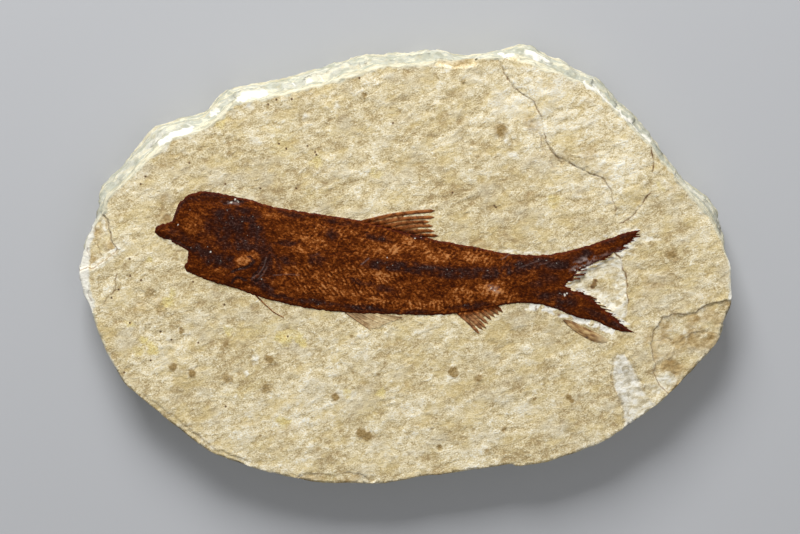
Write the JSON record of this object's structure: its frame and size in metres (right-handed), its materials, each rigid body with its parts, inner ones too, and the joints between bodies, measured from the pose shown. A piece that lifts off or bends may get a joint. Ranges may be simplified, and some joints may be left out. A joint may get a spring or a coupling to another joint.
{
  "type": "fossil fish slab",
  "caption": "Hand-trimmed oval plate of pale limestone with a fossil fish lying in its face, resting flat on its back.",
  "frame": {"origin": "middle of the bounding box's base, on the surface that the plate's back rests on", "axes": "+X from the fish's head to its tail, +Y towards the fish's back, +Z out of the face that shows the fish"},
  "size_m": [0.121, 0.082, 0.0099],
  "materials": {
    "limestone": "matt",
    "fossil_bone": "satin",
    "fragment_tan": "matt"
  },
  "bodies": {
    "root": {"slab": "limestone", "fish": "fossil_bone", "fin_fragment": "fragment_tan"}
  },
  "joints": []
}
